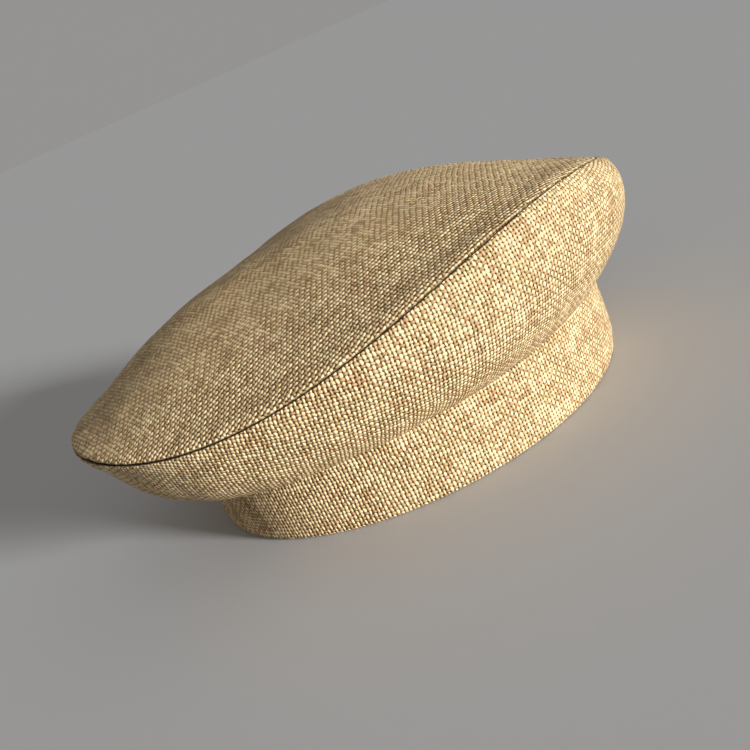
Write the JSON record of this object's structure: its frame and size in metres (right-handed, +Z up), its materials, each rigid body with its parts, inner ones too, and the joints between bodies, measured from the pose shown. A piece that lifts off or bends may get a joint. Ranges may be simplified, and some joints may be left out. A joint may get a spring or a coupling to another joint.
{
  "type": "visorless soft cap",
  "caption": "Soft round cap without a peak: oval domed tip, bulging side panels and an upright headband, with lining, sweatband and a hinged inner label.",
  "frame": {"origin": "middle of the cap's footprint, on the surface that the folded headband edge stands on", "axes": "+X to the front, where the side panels are tallest; +Y to the wearer's left; +Z up"},
  "size_m": [0.28, 0.223, 0.1082],
  "materials": {
    "straw_cloth": "coarse plain weave of slubby straw-coloured yarn, matt",
    "backing_canvas": "stiff open canvas, matt",
    "lining_satin": "smooth brown twill lining, soft sheen",
    "sweatband_ribbon": "dark brown ribbed ribbon",
    "sewing_thread": "dark brown spun thread",
    "label_tape": "blank woven tape"
  },
  "bodies": {
    "cap": {"tip_panel": "straw_cloth", "side_panel_left": "straw_cloth", "side_panel_right": "straw_cloth", "headband": "straw_cloth", "tip_interlining": "backing_canvas", "side_interlining_left": "backing_canvas", "side_interlining_right": "backing_canvas", "headband_stiffener": "backing_canvas", "tip_lining": "lining_satin", "side_lining_left": "lining_satin", "side_lining_right": "lining_satin", "sweatband": "sweatband_ribbon", "tip_seam_thread": "sewing_thread", "waist_seam_thread": "sewing_thread", "front_seam_thread": "sewing_thread", "back_seam_thread": "sewing_thread", "headband_seam_thread": "sewing_thread", "sweatband_lower_stitch": "sewing_thread", "label_stitch": "sewing_thread"},
    "label": {"care_label": "label_tape"}
  },
  "joints": [
    {"name": "label_flap", "type": "hinge", "parent": "cap", "child": "label", "pos_m": [-0.0876, 0, 0.0263], "axis": [0, -1, 0], "range_deg": [0, 140]}
  ]
}
